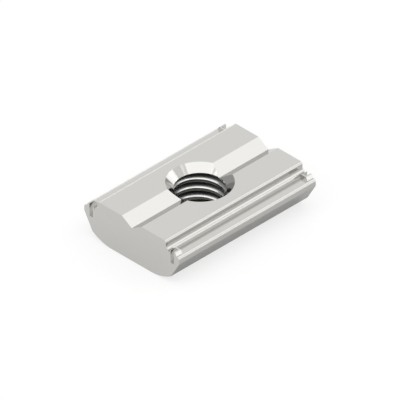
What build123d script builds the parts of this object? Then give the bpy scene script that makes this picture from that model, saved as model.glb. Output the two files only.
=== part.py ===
"""A T-slot nut: one block of zinc-plated steel that slides along a profile's slot.

X runs along the slot and +Z is the way the screw pulls. The origin is where the
axis of the bore meets the flat underside. The narrow upper plate stands in the
mouth of the slot, the two shoulders bear up against the slot's lips, and below
them the flanks lean in to a rounded belly that clears the floor of the slot.
All sizes are in millimetres.
"""

import os
from math import radians, tan

from build123d import *

# Block
length = 18.0
height = 4.5
plate_width = 9.0
plate_edge_radius = 0.28

# Shoulders: the ledge on each side of the plate, and the flange under it
shoulder_drop = 1.1
shoulder_reach = 1.75
shoulder_edge_radius = 0.31
bead_radius = 0.38
flange_side_height = 0.73
flange_lower_radius = 0.30

# Belly: the flanks lean in to a corner, then an arc runs down to the flat
flank_angle = 30
belly_height = 0.8
belly_flat_width = 5.0

# Guide groove for the tip of the screw, along the top of the plate
groove_width = 2.6
groove_depth = 0.8

# Bore, plain at the tap drill for an M6 thread, with a countersink at each mouth
tap_drill_diameter = 5.0
countersink_diameter = 6.5
countersink_angle = 90

# Lugs raised at the four ends of the shoulders, each split by a wedge notch
lug_length = 0.75
lug_height = 0.35
lug_margin = 0.03
lug_side_run = 0.18
notch_margin = 0.03
notch_width = 0.44
notch_drop = 1.4
notch_web = 0.15

# What follows from them
half_length = length / 2
plate_half = plate_width / 2
flange_half = plate_half + shoulder_reach
shoulder_level = height - shoulder_drop
flange_foot = shoulder_level - flange_side_height
belly_half = flange_half - (flange_foot - belly_height) * tan(radians(flank_angle))
lug_top = shoulder_level + lug_height
lug_inner = plate_half + bead_radius + lug_margin
lug_outer = flange_half - shoulder_edge_radius - lug_margin
notch_inner = lug_inner + lug_side_run + notch_margin
notch_depth = lug_length - notch_web


with BuildPart() as t_slot_nut:
    # Section of the block: one half as an outline, then its mirror image.
    with BuildSketch(Plane.YZ) as section:
        with BuildLine():
            Line((0, 0), (belly_flat_width / 2, 0))
            TangentArc((belly_flat_width / 2, 0), (belly_half, belly_height), tangent=(1, 0))
            Line((belly_half, belly_height), (flange_half, flange_foot))
            Line((flange_half, flange_foot), (flange_half, shoulder_level))
            Line((flange_half, shoulder_level), (plate_half + bead_radius, shoulder_level))
            CenterArc((plate_half, shoulder_level), bead_radius, 0, 90)
            Line((plate_half, shoulder_level + bead_radius), (plate_half, height))
            Line((plate_half, height), (groove_width / 2, height))
            Line((groove_width / 2, height), (0, height - groove_depth))
            Line((0, height - groove_depth), (0, 0))
        make_face()
        mirror(about=Plane.YZ)
    extrude(amount=half_length, both=True)

    # Long edges: the plate's outer two, then the upper and lower one of each flange side.
    plate_edges = t_slot_nut.edges().filter_by(Axis.X).group_by(Axis.Z)[-1].sort_by(Axis.Y)
    fillet([plate_edges[0], plate_edges[-1]], plate_edge_radius)
    flange_edges = t_slot_nut.edges().filter_by(Axis.X).sort_by(Axis.Y)
    upper_edges = [pair.sort_by(Axis.Z)[-1] for pair in (flange_edges[:2], flange_edges[-2:])]
    lower_edges = [pair.sort_by(Axis.Z)[0] for pair in (flange_edges[:2], flange_edges[-2:])]
    fillet(upper_edges, shoulder_edge_radius)
    fillet(lower_edges, flange_lower_radius)

    # Bore: the groove runs just below the foot of the upper countersink.
    for mouth in (Plane.XY.offset(height), -Plane.XY):
        with Locations(mouth):
            CounterSinkHole(
                tap_drill_diameter / 2,
                countersink_diameter / 2,
                counter_sink_angle=countersink_angle,
            )

    # Lugs: a ridge with leaning sides on each shoulder, level with the bead.
    for end in (-1, 1):
        with BuildSketch(Plane.YZ.offset(end * half_length)):
            with BuildLine():
                Polyline(
                    (lug_inner, shoulder_level),
                    (lug_inner + lug_side_run, lug_top),
                    (lug_outer - lug_side_run, lug_top),
                    (lug_outer, shoulder_level),
                    close=True,
                )
            make_face()
            mirror(about=Plane.YZ)
        extrude(amount=-end * lug_length)

    # Notches: each wedge is deepest at the top of its lug and runs out down the end face.
    for side in (-1, 1):
        with BuildSketch(Plane.XZ.offset(side * notch_inner)):
            with BuildLine():
                Polyline(
                    (half_length, lug_top),
                    (half_length - notch_depth, lug_top),
                    (half_length, lug_top - notch_drop),
                    close=True,
                )
            make_face()
            mirror(about=Plane.YZ)
        extrude(amount=side * notch_width, mode=Mode.SUBTRACT)

t_slot_nut.part.label = "t_slot_nut"

os.makedirs("parts", exist_ok=True)
export_step(t_slot_nut.part, "parts/t_slot_nut.step")
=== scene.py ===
"""The T-slot nut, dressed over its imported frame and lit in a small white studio.

X runs along the slot, +Z is the way the screw pulls, and the origin is where the
axis of the bore meets the flat underside, as in the frame. Meshes are built in
millimetres, which suits the mesh operators, and then scaled to the frame's metres.
"""

import logging
import math
from dataclasses import dataclass
from enum import Enum

import bmesh
import bpy
from mathutils import Matrix, Vector


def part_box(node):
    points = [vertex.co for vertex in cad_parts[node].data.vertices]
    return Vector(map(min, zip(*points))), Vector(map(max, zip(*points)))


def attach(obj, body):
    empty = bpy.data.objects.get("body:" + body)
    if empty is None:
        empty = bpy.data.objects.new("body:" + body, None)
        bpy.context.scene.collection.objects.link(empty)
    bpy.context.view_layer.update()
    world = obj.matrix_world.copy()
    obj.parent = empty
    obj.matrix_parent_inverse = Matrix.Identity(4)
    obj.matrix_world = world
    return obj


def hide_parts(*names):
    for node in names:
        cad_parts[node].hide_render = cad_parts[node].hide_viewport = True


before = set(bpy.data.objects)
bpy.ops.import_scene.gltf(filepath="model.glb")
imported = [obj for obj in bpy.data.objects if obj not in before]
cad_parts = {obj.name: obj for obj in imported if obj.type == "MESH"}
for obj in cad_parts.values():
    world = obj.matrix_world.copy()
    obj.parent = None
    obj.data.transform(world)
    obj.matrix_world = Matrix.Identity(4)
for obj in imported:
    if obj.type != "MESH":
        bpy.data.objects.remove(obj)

NODE = "t_slot_nut"
BODY = "root"
PIECE = "nut_body"
METRES_PER_MM = 0.001

# Points closer than this are merged.
MERGE_MM = 1e-4
# A point this close to a cutting plane lies in it.
PLANE_MM = 1e-5
# A point this close to a line or a radius is taken to be on it.
ON_LINE_MM = 1e-3
# Faces that turn less than this from each other are made one.
FLAT_DEGREES = 0.05
# The bevel operator's profile that gives an arc.
ARC_PROFILE = 0.5

# The sRGB curve: straight up to a limit, and a power above it.
SRGB_LIMIT = 0.04045
SRGB_DIVISOR = 12.92
SRGB_OFFSET = 0.055
SRGB_POWER = 2.4

# Sockets of the Mix node, which has a set of them for each type of data.
MIX_FACTOR = 0
MIX_FLOAT_A, MIX_FLOAT_B, MIX_FLOAT_RESULT = 2, 3, 0
MIX_COLOUR_A, MIX_COLOUR_B, MIX_COLOUR_RESULT = 6, 7, 2

log = logging.getLogger("t_slot_nut")


def srgb(hex_colour: str) -> tuple[float, float, float, float]:
    """Turns an sRGB hex colour into the linear colour that a shader takes.

    Args:
        hex_colour: Six hex digits, with or without a leading hash.

    Returns:
        Linear red, green, blue and an alpha of 1.
    """
    digits = hex_colour.lstrip("#")
    channels = [int(digits[i : i + 2], 16) / 255 for i in (0, 2, 4)]
    linear = [
        c / SRGB_DIVISOR
        if c <= SRGB_LIMIT
        else ((c + SRGB_OFFSET) / (1 + SRGB_OFFSET)) ** SRGB_POWER
        for c in channels
    ]
    return (linear[0], linear[1], linear[2], 1.0)


def add_node(
    tree: bpy.types.NodeTree,
    kind: str,
    settings: dict[str, object] | None = None,
    inputs: dict[str | int, object] | None = None,
) -> bpy.types.Node:
    """Adds one shader node, with its settings, input values and incoming links.

    Args:
        tree: The node tree that the node goes into.
        kind: The node's type, such as "ShaderNodeBump".
        settings: Attributes of the node, such as its operation.
        inputs: Values by socket name or index. An output socket is linked instead.

    Returns:
        The new node.
    """
    node = tree.nodes.new(kind)
    for name, value in (settings or {}).items():
        setattr(node, name, value)
    for name, value in (inputs or {}).items():
        if isinstance(value, bpy.types.NodeSocket):
            tree.links.new(value, node.inputs[name])
        else:
            node.inputs[name].default_value = value
    return node


def empty_tree(owner: bpy.types.Material | bpy.types.World) -> bpy.types.NodeTree:
    """Makes a material or a world use nodes.

    Args:
        owner: The new material or world.

    Returns:
        Its node tree, with nothing in it.
    """
    owner.use_nodes = True
    owner.node_tree.nodes.clear()
    return owner.node_tree


def add_object(name: str, data: bpy.types.ID) -> bpy.types.Object:
    """Puts a mesh, a lamp or a camera into the scene.

    Args:
        name: The name of the new object.
        data: The mesh, lamp or camera.

    Returns:
        The new object, at the origin.
    """
    added = bpy.data.objects.new(name, data)
    bpy.context.scene.collection.objects.link(added)
    return added


def add_mesh(name: str, bm: bmesh.types.BMesh) -> bpy.types.Object:
    """Puts a bmesh into the scene and frees it.

    Args:
        name: The name of the new mesh and its object.
        bm: The mesh, which is used up.

    Returns:
        The new object, at the origin.
    """
    mesh = bpy.data.meshes.new(name)
    bm.to_mesh(mesh)
    bm.free()
    return add_object(name, mesh)


def extrude(
    bm: bmesh.types.BMesh, faces: list[bmesh.types.BMFace], way: Vector
) -> None:
    """Makes faces into the ends of prisms.

    Args:
        bm: The mesh that holds the faces.
        faces: The faces.
        way: Where their other ends go.
    """
    grown = bmesh.ops.extrude_face_region(bm, geom=faces)
    ends = [g for g in grown["geom"] if isinstance(g, bmesh.types.BMVert)]
    bmesh.ops.translate(bm, vec=way, verts=ends)


def round_edges(
    bm: bmesh.types.BMesh,
    edges: list[bmesh.types.BMEdge],
    offset: float,
    segments: int,
) -> None:
    """Rounds edges with an arc.

    Args:
        bm: The mesh that holds the edges.
        edges: The edges.
        offset: How far from each edge its rounding starts.
        segments: The number of faces in the arc.
    """
    bmesh.ops.bevel(
        bm,
        geom=edges,
        offset=offset,
        offset_type="OFFSET",
        affect="EDGES",
        segments=segments,
        profile=ARC_PROFILE,
        material=-1,
    )


def direction(bearing_degrees: float, elevation_degrees: float) -> Vector:
    """Finds the way from the nut to a lamp or the camera.

    Args:
        bearing_degrees: The angle round the nut, from +X towards +Y.
        elevation_degrees: The angle over the floor.

    Returns:
        A vector of length 1.
    """
    bearing = math.radians(bearing_degrees)
    elevation = math.radians(elevation_degrees)
    return Vector(
        (
            math.cos(bearing) * math.cos(elevation),
            math.sin(bearing) * math.cos(elevation),
            math.sin(elevation),
        )
    )


class Join(Enum):
    """How a tool solid meets the work."""

    ADD = "UNION"
    CUT = "DIFFERENCE"


class Solid:
    """A closed mesh that is being built, in millimetres."""

    def __init__(self, name: str, bm: bmesh.types.BMesh) -> None:
        """Keeps a finished bmesh as an object and frees it.

        Args:
            name: The name of the new object.
            bm: The closed mesh, which is used up.
        """
        bmesh.ops.recalc_face_normals(bm, faces=bm.faces)
        self.object = add_mesh(name, bm)

    def combine(self, tool: "Solid", join: Join) -> None:
        """Adds a tool solid to this one or cuts it away, and uses the tool up.

        Args:
            tool: The other solid.
            join: Whether it is added or cut.
        """
        modifier = self.object.modifiers.new(join.name, "BOOLEAN")
        modifier.operation = join.value
        modifier.solver = "EXACT"
        modifier.object = tool.object
        depsgraph = bpy.context.evaluated_depsgraph_get()
        result = bpy.data.meshes.new_from_object(self.object.evaluated_get(depsgraph))
        self.object.modifiers.clear()
        self.object.data = result
        bpy.data.objects.remove(tool.object)

    def finish(self, sharp_degrees: float) -> bpy.types.Object:
        """Cleans the mesh, scales it to metres and smooths it between sharp edges.

        Args:
            sharp_degrees: An edge that turns more than this is left sharp.

        Returns:
            The finished object, at the origin, unturned and unscaled.
        """
        mesh = self.object.data
        bm = bmesh.new()
        bm.from_mesh(mesh)
        bmesh.ops.remove_doubles(bm, verts=bm.verts, dist=MERGE_MM)
        bmesh.ops.dissolve_limit(
            bm, angle_limit=math.radians(FLAT_DEGREES), verts=bm.verts, edges=bm.edges
        )
        bmesh.ops.scale(bm, vec=(METRES_PER_MM,) * 3, verts=bm.verts)
        for face in bm.faces:
            face.smooth = True
        sharp = math.radians(sharp_degrees)
        for edge in bm.edges:
            edge.smooth = edge.calc_face_angle(math.pi) < sharp
        bm.to_mesh(mesh)
        bm.free()
        weighted = self.object.modifiers.new("flat faces stay flat", "WEIGHTED_NORMAL")
        weighted.keep_sharp = True
        return self.object


class Pen:
    """Draws a line of edges in a plane across the X axis."""

    def __init__(self, bm: bmesh.types.BMesh, x: float, arc_segments: int) -> None:
        """Sets the pen down on the X axis.

        Args:
            bm: The mesh that takes the line.
            x: Where the plane is.
            arc_segments: The number of edges in an arc.
        """
        self.bm = bm
        self.x = x
        self.arc_segments = arc_segments
        self.end = bm.verts.new((x, 0, 0))

    def line_to(self, y: float, z: float) -> None:
        """Draws a straight edge.

        Args:
            y: Y of the edge's far end.
            z: Z of the edge's far end.
        """
        point = self.bm.verts.new((self.x, y, z))
        self.bm.edges.new((self.end, point))
        self.end = point

    def arc_about(self, y: float, z: float, turn: float) -> None:
        """Draws an arc.

        Args:
            y: Y of the arc's centre.
            z: Z of the arc's centre.
            turn: The arc's angle in radians, from +Y towards +Z.
        """
        turned = bmesh.ops.spin(
            self.bm,
            geom=[self.end],
            cent=(self.x, y, z),
            axis=(1, 0, 0),
            angle=turn,
            steps=self.arc_segments,
        )
        last = turned["geom_last"]
        self.end = next(g for g in last if isinstance(g, bmesh.types.BMVert))


@dataclass(frozen=True)
class Thread:
    """An ISO metric thread, cut in a drilled hole by a tap, in millimetres."""

    diameter: float = 6.0
    pitch: float = 1.0
    drill: float = 5.0
    flank_degrees: float = 30.0
    crest_edge_radius: float = 0.06
    crest_edge_segments: int = 3
    # Height of a crest's upper edge over the underside, and the bearing it is taken at.
    crest_height: float = 3.03
    crest_bearing_degrees: float = 45.0
    steps_per_turn: int = 96

    @property
    def depth(self) -> float:
        """Radial depth of the groove, from the drilled wall to its root."""
        return (self.diameter - self.drill) / 2

    @property
    def root_flat(self) -> float:
        """Width of the flat at the root of the groove, an eighth of the pitch."""
        return self.pitch / 8

    def plug(self, low: float, high: float) -> Solid:
        """The solid that the drill and the tap remove: a long screw with flat ends.

        Args:
            low: Height of its lower end.
            high: Height of its upper end.

        Returns:
            The plug, on the Z axis.
        """
        rise = self.depth * math.tan(math.radians(self.flank_degrees))
        groove = 2 * rise + self.root_flat
        turns_below = math.ceil((self.crest_height - low) / self.pitch) + 1
        turns = turns_below + math.ceil((high - self.crest_height) / self.pitch) + 1
        turns_to_crest = turns_below + self.crest_bearing_degrees / 360
        start = self.crest_height - turns_to_crest * self.pitch

        bm = bmesh.new()
        profile = [
            (self.drill / 2, 0.0),
            (self.diameter / 2, rise),
            (self.diameter / 2, rise + self.root_flat),
            (self.drill / 2, groove),
            (self.drill / 2, self.pitch),
        ]
        line = [bm.verts.new((radius, 0, start + z)) for radius, z in profile]
        edges = [bm.edges.new(pair) for pair in zip(line, line[1:])]
        bmesh.ops.spin(
            bm,
            geom=line + edges,
            cent=(0, 0, 0),
            axis=(0, 0, 1),
            dvec=(0, 0, self.pitch / self.steps_per_turn),
            angle=math.tau * turns,
            steps=self.steps_per_turn * turns,
        )
        bmesh.ops.remove_doubles(bm, verts=bm.verts, dist=MERGE_MM)
        self._round_crests(bm)
        for level, outward in ((high, 1), (low, -1)):
            cut = bmesh.ops.bisect_plane(
                bm,
                geom=bm.verts[:] + bm.edges[:] + bm.faces[:],
                dist=PLANE_MM,
                plane_co=(0, 0, level),
                plane_no=(0, 0, outward),
                clear_outer=True,
            )
            rim = [g for g in cut["geom_cut"] if isinstance(g, bmesh.types.BMEdge)]
            bmesh.ops.contextual_create(bm, geom=rim)
        return Solid("thread_plug", bm)

    def _round_crests(self, bm: bmesh.types.BMesh) -> None:
        """Takes the burr off both edges of the thread's crest.

        Args:
            bm: The swept screw.
        """
        turn = math.radians(90 - self.flank_degrees)
        reach = self.drill / 2 + ON_LINE_MM
        edges = [
            edge
            for edge in bm.edges
            if len(edge.link_faces) == 2
            and abs(edge.calc_face_angle() - turn) < turn / 2
            and all(v.co.xy.length < reach for v in edge.verts)
        ]
        offset = self.crest_edge_radius * math.tan(turn / 2)
        round_edges(bm, edges, offset, self.crest_edge_segments)


@dataclass(frozen=True)
class SlotNut:
    """The block of the nut, in millimetres. The overall sizes come from the frame."""

    length: float
    width: float
    height: float
    plate_width: float = 9.0
    plate_edge_radius: float = 0.28
    shoulder_drop: float = 1.1
    shoulder_edge_radius: float = 0.31
    bead_radius: float = 0.38
    flange_side_height: float = 0.73
    flange_lower_radius: float = 0.30
    flank_degrees: float = 30.0
    belly_height: float = 0.8
    belly_flat_width: float = 5.0
    groove_width: float = 2.6
    groove_depth: float = 0.8
    countersink_diameter: float = 6.5
    lug_length: float = 0.75
    lug_height: float = 0.35
    lug_margin: float = 0.03
    lug_side_run: float = 0.18
    # How far a lug is let into the shoulder.
    lug_root: float = 0.0875
    notch_margin: float = 0.03
    notch_width: float = 0.44
    notch_drop: float = 1.4
    notch_web: float = 0.15
    thread: Thread = Thread()
    # The thread starts this far inside the foot of each countersink.
    thread_lead: float = 0.07
    # The hole's radius is this much larger than the thread's crests, to trim them.
    drill_trim: float = 0.002
    # How far the drill and the countersinks stand out of the block.
    tool_clearance: float = 1.0
    arc_segments: int = 12
    sharp_degrees: float = 20.0

    @property
    def plate_half(self) -> float:
        """Half the width of the upper plate."""
        return self.plate_width / 2

    @property
    def shoulder_level(self) -> float:
        """Height of the shoulders over the underside."""
        return self.height - self.shoulder_drop

    @property
    def flange_foot(self) -> float:
        """Height at which the flange's upright sides end."""
        return self.shoulder_level - self.flange_side_height

    @property
    def lug_top(self) -> float:
        """Height of the lugs over the underside."""
        return self.shoulder_level + self.lug_height

    @property
    def lug_inner(self) -> float:
        """Distance from the middle plane to a lug's inner foot."""
        return self.plate_half + self.bead_radius + self.lug_margin

    @property
    def lug_outer(self) -> float:
        """Distance from the middle plane to a lug's outer foot."""
        return self.width / 2 - self.shoulder_edge_radius - self.lug_margin

    def block(self) -> Solid:
        """The drawn bar, cut to length, with its long edges rounded.

        Returns:
            The block, without its bore, lugs and notches.
        """
        bm = bmesh.new()
        self._draw_half_section(bm)
        half = bm.verts[:] + bm.edges[:]
        bmesh.ops.mirror(bm, geom=half, axis="Y", merge_dist=MERGE_MM)
        bmesh.ops.contextual_create(bm, geom=bm.edges[:])
        extrude(bm, bm.faces[:], Vector((self.length, 0, 0)))
        bmesh.ops.recalc_face_normals(bm, faces=bm.faces)
        half_turn = math.radians(self.flank_degrees / 2)
        lower_offset = self.flange_lower_radius * math.tan(half_turn)
        self._round(bm, self.plate_half, self.height, self.plate_edge_radius)
        self._round(bm, self.width / 2, self.shoulder_level, self.shoulder_edge_radius)
        self._round(bm, self.width / 2, self.flange_foot, lower_offset)
        return Solid("block", bm)

    def _draw_half_section(self, bm: bmesh.types.BMesh) -> None:
        """Draws the +Y half of the section as a line of edges, at the block's -X end.

        Args:
            bm: The empty mesh that takes it.
        """
        flat_half = self.belly_flat_width / 2
        slope = math.tan(math.radians(self.flank_degrees))
        belly_half = self.width / 2 - (self.flange_foot - self.belly_height) * slope
        belly_turn = 2 * math.atan2(self.belly_height, belly_half - flat_half)
        belly_radius = (belly_half - flat_half) / math.sin(belly_turn)

        pen = Pen(bm, -self.length / 2, self.arc_segments)
        pen.line_to(flat_half, 0)
        pen.arc_about(flat_half, belly_radius, belly_turn)
        pen.line_to(self.width / 2, self.flange_foot)
        pen.line_to(self.width / 2, self.shoulder_level)
        pen.line_to(self.plate_half + self.bead_radius, self.shoulder_level)
        pen.arc_about(self.plate_half, self.shoulder_level, math.pi / 2)
        pen.line_to(self.plate_half, self.height)
        pen.line_to(self.groove_width / 2, self.height)
        pen.line_to(0, self.height - self.groove_depth)

    def _round(self, bm: bmesh.types.BMesh, y: float, z: float, offset: float) -> None:
        """Rounds the two long edges that run through one corner of the section.

        Args:
            bm: The block.
            y: The corner's distance from the middle plane.
            z: Its height.
            offset: How far from the edge the rounding starts.
        """
        edges = [
            edge
            for edge in bm.edges
            if all(
                math.hypot(abs(v.co.y) - y, v.co.z - z) < ON_LINE_MM for v in edge.verts
            )
        ]
        round_edges(bm, edges, offset, self.arc_segments)

    def lugs(self) -> Solid:
        """The four lugs, one at each end of each shoulder, let a little into it.

        Returns:
            One solid of four ridges with leaning sides.
        """
        sunk = self.shoulder_level - self.lug_root
        end = self.length / 2
        bm = bmesh.new()
        outline = [
            (self.lug_inner, sunk),
            (self.lug_inner, self.shoulder_level),
            (self.lug_inner + self.lug_side_run, self.lug_top),
            (self.lug_outer - self.lug_side_run, self.lug_top),
            (self.lug_outer, self.shoulder_level),
            (self.lug_outer, sunk),
        ]
        face = bm.faces.new([bm.verts.new((end, y, z)) for y, z in outline])
        self._sweep(bm, face, Vector((-self.lug_length, 0, 0)))
        return Solid("lugs", bm)

    def notches(self) -> Solid:
        """The four wedges that split the lugs and run out down the end faces.

        Returns:
            One solid of four wedges, which stand clear of the lug above and outside.
        """
        depth = self.lug_length - self.notch_web
        slope = depth / self.notch_drop
        clear = self.lug_height
        end = self.length / 2
        inner = self.lug_inner + self.lug_side_run + self.notch_margin
        bm = bmesh.new()
        outline = [
            (end + clear, self.lug_top + clear),
            (end - depth - clear * slope, self.lug_top + clear),
            (end + clear, self.lug_top - self.notch_drop - clear / slope),
        ]
        face = bm.faces.new([bm.verts.new((x, inner, z)) for x, z in outline])
        self._sweep(bm, face, Vector((0, self.notch_width, 0)))
        return Solid("notches", bm)

    def _sweep(
        self, bm: bmesh.types.BMesh, face: bmesh.types.BMFace, way: Vector
    ) -> None:
        """Makes a prism of a face, and copies it to all four corners of the block.

        Args:
            bm: The mesh that holds the face.
            face: The prism's end.
            way: Where its other end goes.
        """
        extrude(bm, [face], way)
        for axis in ("X", "Y"):
            geom = bm.verts[:] + bm.edges[:] + bm.faces[:]
            bmesh.ops.mirror(bm, geom=geom, axis=axis, merge_dist=MERGE_MM)

    def countersinks(self) -> list[Solid]:
        """The cones that a 90 degree countersink takes out of the bore's two mouths.

        Returns:
            The upper and the lower cone, each standing out of its mouth.
        """
        reach = self.countersink_diameter / 2 + self.tool_clearance
        rise = self.tool_clearance - reach / 2
        cones = []
        for mouth, up in ((self.height, 1), (0.0, -1)):
            bm = bmesh.new()
            bmesh.ops.create_cone(
                bm,
                cap_ends=True,
                segments=self.thread.steps_per_turn,
                radius1=0,
                radius2=reach,
                depth=reach,
            )
            bmesh.ops.translate(bm, vec=(0, 0, rise), verts=bm.verts)
            flip = Matrix.Diagonal((1, up, up, 1))
            place = Matrix.Translation((0, 0, mouth)) @ flip
            bmesh.ops.transform(bm, matrix=place, verts=bm.verts)
            cones.append(Solid("countersink", bm))
        return cones

    def drill(self) -> Solid:
        """The tap drill's hole.

        Returns:
            A cylinder that stands out of both mouths of the bore.
        """
        radius = self.thread.drill / 2 + self.drill_trim
        bm = bmesh.new()
        bmesh.ops.create_cone(
            bm,
            cap_ends=True,
            segments=self.thread.steps_per_turn,
            radius1=radius,
            radius2=radius,
            depth=self.height + 2 * self.tool_clearance,
        )
        bmesh.ops.translate(bm, vec=(0, 0, self.height / 2), verts=bm.verts)
        return Solid("drill", bm)

    def build(self) -> bpy.types.Object:
        """Makes the whole nut.

        Returns:
            The finished object, in metres.
        """
        countersink_depth = (self.countersink_diameter - self.thread.drill) / 2
        start = countersink_depth + self.thread_lead
        nut = self.block()
        nut.combine(self.lugs(), Join.ADD)
        for cutter in (
            self.notches(),
            *self.countersinks(),
            self.drill(),
            self.thread.plug(start, self.height - start),
        ):
            nut.combine(cutter, Join.CUT)
        piece = nut.finish(self.sharp_degrees)
        piece.name = PIECE
        piece.data.name = PIECE
        return piece


@dataclass(frozen=True)
class ZincPlatedSteel:
    """Drawn steel with a bright zinc plating: pale, a little warm, softly mirror-like.

    Faint lines from the drawing die run along the bar under the plating, the plating is
    a little cloudy, and the roots of the thread are rougher, with shade painted darker
    into their colour.
    """

    colour: str = "#C8C7C4"
    # Painted shade: the darker colour given to the roots of the thread.
    root_shade_colour: str = "#747477"
    roughness: float = 0.12
    root_roughness: float = 0.4
    cloud_roughness: float = 0.03
    cloud_mm: float = 1.5
    cloud_detail: float = 3.0
    # The values that a noise texture mostly stays between.
    noise_span: tuple[float, float] = (0.3, 0.7)
    line_spacing_mm: float = 0.12
    line_length_mm: float = 6.0
    line_depth_mm: float = 0.0006
    line_detail: float = 2.0
    # The painted shade in the thread's roots: the radii that it deepens between, the
    # radius where it ends outwards, and the heights that it lies between.
    root_shade_radii_mm: tuple[float, float] = (2.52, 2.80)
    root_shade_edge_mm: float = 3.05
    root_shade_heights_mm: tuple[float, float] = (0.82, 3.68)

    def material(self) -> bpy.types.Material:
        """Builds the finish.

        Returns:
            The material, ready to assign.
        """
        material = bpy.data.materials.new("bright_zinc_plated_steel")
        tree = empty_tree(material)
        place = add_node(tree, "ShaderNodeTexCoord").outputs["Object"]
        # The roots of the thread get a painted shade in their colour and more
        # roughness.
        root_shade = self._thread_root_shade(tree, place)
        shader = add_node(
            tree,
            "ShaderNodeBsdfPrincipled",
            inputs={
                "Base Color": self._colour(tree, root_shade),
                "Metallic": 1.0,
                "Roughness": self._roughness(tree, place, root_shade),
                "Normal": self._drawn_lines(tree, place),
            },
        )
        surface = shader.outputs["BSDF"]
        add_node(tree, "ShaderNodeOutputMaterial", inputs={"Surface": surface})
        return material

    def _roughness(
        self,
        tree: bpy.types.NodeTree,
        place: bpy.types.NodeSocket,
        root_shade: bpy.types.NodeSocket,
    ) -> bpy.types.NodeSocket:
        """Clouds the plating: soft patches, some a little duller, and duller thread
        roots.

        Args:
            tree: The material's node tree.
            place: Object coordinates.
            root_shade: How deep in the thread's roots a point lies, from 0 to 1.

        Returns:
            The roughness.
        """
        clouds = add_node(
            tree,
            "ShaderNodeTexNoise",
            inputs={
                "Vector": place,
                "Scale": 1 / (self.cloud_mm * METRES_PER_MM),
                "Detail": self.cloud_detail,
            },
        )
        low = self.roughness - self.cloud_roughness / 2
        least, most = self.noise_span
        spread = add_node(
            tree,
            "ShaderNodeMapRange",
            inputs={
                "Value": clouds.outputs["Fac"],
                "From Min": least,
                "From Max": most,
                "To Min": low,
                "To Max": low + self.cloud_roughness,
            },
        )
        mix = add_node(
            tree,
            "ShaderNodeMix",
            {"data_type": "FLOAT"},
            {
                MIX_FACTOR: root_shade,
                MIX_FLOAT_A: spread.outputs["Result"],
                MIX_FLOAT_B: self.root_roughness,
            },
        )
        return mix.outputs[MIX_FLOAT_RESULT]

    def _drawn_lines(
        self, tree: bpy.types.NodeTree, place: bpy.types.NodeSocket
    ) -> bpy.types.NodeSocket:
        """Draws the faint lines that the die leaves along the bar.

        Args:
            tree: The material's node tree.
            place: Object coordinates.

        Returns:
            The surface's normal.
        """
        along = 1 / (self.line_length_mm * METRES_PER_MM)
        across = 1 / (self.line_spacing_mm * METRES_PER_MM)
        stretched = add_node(
            tree,
            "ShaderNodeMapping",
            inputs={"Vector": place, "Scale": (along, across, across)},
        )
        lines = add_node(
            tree,
            "ShaderNodeTexNoise",
            inputs={
                "Vector": stretched.outputs["Vector"],
                "Scale": 1.0,
                "Detail": self.line_detail,
            },
        )
        bump = add_node(
            tree,
            "ShaderNodeBump",
            inputs={
                "Height": lines.outputs["Fac"],
                "Distance": self.line_depth_mm * METRES_PER_MM,
            },
        )
        return bump.outputs["Normal"]

    def _thread_root_shade(
        self, tree: bpy.types.NodeTree, place: bpy.types.NodeSocket
    ) -> bpy.types.NodeSocket:
        """Finds the roots of the thread, where shade is painted into the colour.

        Args:
            tree: The material's node tree.
            place: Object coordinates.

        Returns:
            How much oil there is, from 0 to 1.
        """
        parts = add_node(tree, "ShaderNodeSeparateXYZ", inputs={"Vector": place})
        flat = add_node(
            tree,
            "ShaderNodeCombineXYZ",
            inputs={"X": parts.outputs["X"], "Y": parts.outputs["Y"]},
        )
        radius = add_node(
            tree,
            "ShaderNodeVectorMath",
            {"operation": "LENGTH"},
            {"Vector": flat.outputs["Vector"]},
        )
        thin, thick = (r * METRES_PER_MM for r in self.root_shade_radii_mm)
        depth = add_node(
            tree,
            "ShaderNodeMapRange",
            {"interpolation_type": "SMOOTHSTEP"},
            {"Value": radius.outputs["Value"], "From Min": thin, "From Max": thick},
        )
        low, high = (z * METRES_PER_MM for z in self.root_shade_heights_mm)
        limits = (
            ("GREATER_THAN", parts.outputs["Z"], low),
            ("LESS_THAN", parts.outputs["Z"], high),
            ("LESS_THAN", radius.outputs["Value"], self.root_shade_edge_mm * METRES_PER_MM),
        )
        amount = depth.outputs["Result"]
        for operation, value, limit in limits:
            inside = add_node(
                tree, "ShaderNodeMath", {"operation": operation}, {0: value, 1: limit}
            )
            product = add_node(
                tree,
                "ShaderNodeMath",
                {"operation": "MULTIPLY"},
                {0: amount, 1: inside.outputs["Value"]},
            )
            amount = product.outputs["Value"]
        return amount

    def _colour(
        self, tree: bpy.types.NodeTree, root_shade: bpy.types.NodeSocket
    ) -> bpy.types.NodeSocket:
        """Paints shade into the plating's colour in the roots of the thread.

        Args:
            tree: The material's node tree.
            root_shade: How deep in the thread's roots a point lies, from 0 to 1.

        Returns:
            The colour.
        """
        # The roots of the thread are painted darker, as shade.
        mix = add_node(
            tree,
            "ShaderNodeMix",
            {"data_type": "RGBA"},
            {
                MIX_FACTOR: root_shade,
                MIX_COLOUR_A: srgb(self.colour),
                MIX_COLOUR_B: srgb(self.root_shade_colour),
            },
        )
        return mix.outputs[MIX_COLOUR_RESULT]


@dataclass(frozen=True)
class SoftBox:
    """A rectangular studio lamp with an even face, which looks at the nut.

    Its bearing is counted from +X towards +Y, and its sizes are in metres.
    """

    name: str
    bearing_degrees: float
    elevation_degrees: float
    size: tuple[float, float]
    radiance: float
    distance: float = 0.6

    def hang(self) -> None:
        """Hangs the lamp, with the power that gives its face the radiance."""
        away = direction(self.bearing_degrees, self.elevation_degrees)
        data = bpy.data.lights.new(self.name, "AREA")
        data.shape = "RECTANGLE"
        data.size, data.size_y = self.size
        data.energy = self.radiance * math.pi * self.size[0] * self.size[1]
        lamp = add_object(self.name, data)
        lamp.location = self.distance * away
        lamp.rotation_euler = away.to_track_quat("Z", "Y").to_euler()


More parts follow.
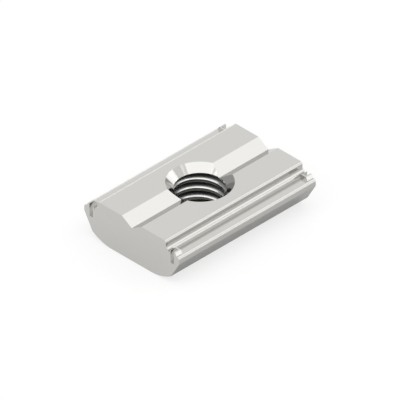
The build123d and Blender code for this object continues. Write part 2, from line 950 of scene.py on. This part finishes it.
@dataclass(frozen=True)
class Studio:
    """A white floor under soft lamps, and the camera. Sizes are in metres."""

    floor_size: float = 3.0
    floor_colour: str = "#F5F5F4"
    # Painted shade: a dark spot on the paper under the bore, seen through it.
    bore_shade_colour: str = "#8A8A87"
    bore_shade_radius: float = 0.0034
    # How much of the floor is glow, as the camera and as metal see it.
    glow_to_camera: float = 0.7
    glow_to_metal: float = 0.6
    # The glow that metal shows, by Y: dimmed near the nut's -Y side as a painted
    # shadow, bright elsewhere.
    glow_shade_across: tuple[tuple[float, float], ...] = (
        (-0.0200, 1.00),
        (-0.0125, 0.55),
        (-0.0075, 0.55),
        (-0.0060, 0.30),
        (-0.0050, 0.30),
        (-0.0041, 0.87),
    )
    room_colour: str = "#FFFFFF"
    room_level: float = 0.45
    # An isometric view. Its middle is a little below the middle of the nut's top.
    camera_bearing_degrees: float = 225.0
    camera_elevation_degrees: float = math.degrees(math.asin(1 / math.sqrt(3)))
    camera_distance: float = 0.2
    view_width: float = 0.03726
    view_drop: float = 0.0017
    # Each lamp's name, bearing, elevation, width and height, and radiance.
    lamps: tuple[SoftBox, ...] = (
        SoftBox("behind", 45, 35, (0.56, 0.32), 0.63),
        SoftBox("low_behind", 60, 14, (0.32, 0.23), 1.1),
        SoftBox("high_right", 338, 50, (0.39, 0.26), 0.66),
        SoftBox("high_far_right", 350, 52, (0.56, 0.21), 0.37),
        SoftBox("right", 320, 30, (0.44, 0.21), 0.47),
        SoftBox("near_right", 301, 41, (0.14, 0.13), 0.36),
        SoftBox("mid_right", 332, 27, (0.13, 0.09), 0.8),
        SoftBox("low_right", 345, 18, (0.26, 0.15), 1.2),
        SoftBox("low_front_right", 307, 12, (0.39, 0.19), 1.15),
        SoftBox("low_front", 222, 19, (0.40, 0.40), 0.9),
        SoftBox("wide_front", 225, 62, (3.3, 0.26), 0.57),
        SoftBox("front", 225, 55, (0.84, 0.23), 0.56),
        SoftBox("left", 160, 30, (0.56, 0.32), 1.0),
        SoftBox("overhead", 225, 84, (0.84, 0.42), 1.2),
    )

    def build(self, top_centre: Vector) -> None:
        """Builds the floor, the room, the lamps and the camera.

        Args:
            top_centre: The middle of the nut's top, which the camera looks near.
        """
        self._lay_floor()
        self._light_room()
        for lamp in self.lamps:
            lamp.hang()
        self._set_camera(top_centre)
        bpy.context.scene.view_settings.view_transform = "Standard"

    def _lay_floor(self) -> None:
        """Lays the floor, level with the nut's underside."""
        bm = bmesh.new()
        bmesh.ops.create_grid(bm, x_segments=1, y_segments=1, size=self.floor_size / 2)
        floor = add_mesh("floor", bm)
        floor.data.materials.append(self._paper())

    def _paper(self) -> bpy.types.Material:
        """Makes the floor's finish: matt white paper with a glow that metal sees dimmed
        by painted shadow near the nut's -Y side, and a dark spot of painted shade under
        the bore.

        Returns:
            The material. The camera and metal see its glow, which lights nothing else.
        """
        material = bpy.data.materials.new("matt_white_paper")
        tree = empty_tree(material)
        path = add_node(tree, "ShaderNodeLightPath")
        # The paper under the bore is painted darker, as shade, and has no glow.
        clear = self._outside_bore_shade(tree)
        tint = add_node(
            tree,
            "ShaderNodeMix",
            {"data_type": "RGBA"},
            {
                MIX_FACTOR: clear,
                MIX_COLOUR_A: srgb(self.bore_shade_colour),
                MIX_COLOUR_B: srgb(self.floor_colour),
            },
        )
        paper = add_node(
            tree,
            "ShaderNodeBsdfDiffuse",
            inputs={"Color": tint.outputs[MIX_COLOUR_RESULT]},
        )
        glow = add_node(
            tree, "ShaderNodeEmission", inputs={"Strength": self._glow(tree, path)}
        )
        share: bpy.types.NodeSocket | float = 0.0
        for ray, part in (
            ("Is Camera Ray", self.glow_to_camera),
            ("Is Glossy Ray", self.glow_to_metal),
        ):
            total = add_node(
                tree,
                "ShaderNodeMath",
                {"operation": "MULTIPLY_ADD"},
                {0: path.outputs[ray], 1: part, 2: share},
            )
            share = total.outputs["Value"]
        glow_share_outside_shade = add_node(
            tree, "ShaderNodeMath", {"operation": "MULTIPLY"}, {0: share, 1: clear}
        )
        mix = add_node(
            tree,
            "ShaderNodeMixShader",
            inputs={
                0: glow_share_outside_shade.outputs["Value"],
                1: paper.outputs["BSDF"],
                2: glow.outputs["Emission"],
            },
        )
        surface = mix.outputs["Shader"]
        add_node(tree, "ShaderNodeOutputMaterial", inputs={"Surface": surface})
        return material

    def _glow(
        self, tree: bpy.types.NodeTree, path: bpy.types.Node
    ) -> bpy.types.NodeSocket:
        """Grades the glow that metal shows across the nut, with painted shadow near its
        -Y side. To the camera it is even.

        Args:
            tree: The floor's node tree.
            path: The Light Path node.

        Returns:
            The glow's strength.
        """
        place = add_node(tree, "ShaderNodeTexCoord").outputs["Object"]
        parts = add_node(tree, "ShaderNodeSeparateXYZ", inputs={"Vector": place})
        start, end = self.glow_shade_across[0][0], self.glow_shade_across[-1][0]
        across = add_node(
            tree,
            "ShaderNodeMapRange",
            inputs={"Value": parts.outputs["Y"], "From Min": start, "From Max": end},
        )
        # Painted shadow: the glow that metal reflects dims near the nut's -Y side.
        graded = add_node(
            tree, "ShaderNodeValToRGB", inputs={"Fac": across.outputs["Result"]}
        )
        stops = graded.color_ramp.elements
        while len(stops) < len(self.glow_shade_across):
            stops.new(1.0)
        for stop, (y, level) in zip(stops, self.glow_shade_across):
            stop.position = (y - start) / (end - start)
            stop.color = (level, level, level, 1.0)
        strength = add_node(
            tree,
            "ShaderNodeMath",
            {"operation": "MAXIMUM"},
            {0: graded.outputs["Color"], 1: path.outputs["Is Camera Ray"]},
        )
        return strength.outputs["Value"]

    def _outside_bore_shade(self, tree: bpy.types.NodeTree) -> bpy.types.NodeSocket:
        """Finds the floor round the dark spot of painted shade under the bore.

        Args:
            tree: The floor's node tree.

        Returns:
            0 in the spot and 1 outside it.
        """
        place = add_node(tree, "ShaderNodeTexCoord").outputs["Object"]
        radius = add_node(
            tree, "ShaderNodeVectorMath", {"operation": "LENGTH"}, {"Vector": place}
        )
        clear = add_node(
            tree,
            "ShaderNodeMath",
            {"operation": "GREATER_THAN"},
            {0: radius.outputs["Value"], 1: self.bore_shade_radius},
        )
        return clear.outputs["Value"]

    def _light_room(self) -> None:
        """Fills the room with an even light. To the camera, the room is white."""
        world = bpy.data.worlds.new("room")
        tree = empty_tree(world)
        path = add_node(tree, "ShaderNodeLightPath")
        level = add_node(
            tree,
            "ShaderNodeMath",
            {"operation": "MAXIMUM"},
            {0: path.outputs["Is Camera Ray"], 1: self.room_level},
        )
        shade = add_node(
            tree,
            "ShaderNodeBackground",
            inputs={
                "Color": srgb(self.room_colour),
                "Strength": level.outputs["Value"],
            },
        )
        surface = shade.outputs["Background"]
        add_node(tree, "ShaderNodeOutputWorld", inputs={"Surface": surface})
        bpy.context.scene.world = world

    def _set_camera(self, top_centre: Vector) -> None:
        """Sets a camera without perspective, as a technical view has.

        Args:
            top_centre: The point that shows just above the middle of the view.
        """
        back = direction(self.camera_bearing_degrees, self.camera_elevation_degrees)
        turn = back.to_track_quat("Z", "Y")
        up = turn @ Vector((0, 1, 0))
        data = bpy.data.cameras.new("camera")
        data.type = "ORTHO"
        data.ortho_scale = self.view_width
        camera = add_object("camera", data)
        camera.location = top_centre - self.view_drop * up + self.camera_distance * back
        camera.rotation_euler = turn.to_euler()
        bpy.context.scene.camera = camera


def main() -> None:
    """Builds the nut and its studio."""
    logging.basicConfig(level=logging.INFO, format="%(name)s: %(message)s")
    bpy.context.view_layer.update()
    low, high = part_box(NODE)
    size = (high - low) / METRES_PER_MM

    piece = SlotNut(length=size.x, width=size.y, height=size.z).build()
    piece.data.materials.append(ZincPlatedSteel().material())
    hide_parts(NODE)
    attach(piece, BODY)
    log.info("%s has %d faces", piece.name, len(piece.data.polygons))

    Studio().build(top_centre=Vector((0, 0, high.z)))


if __name__ == "__main__":
    main()
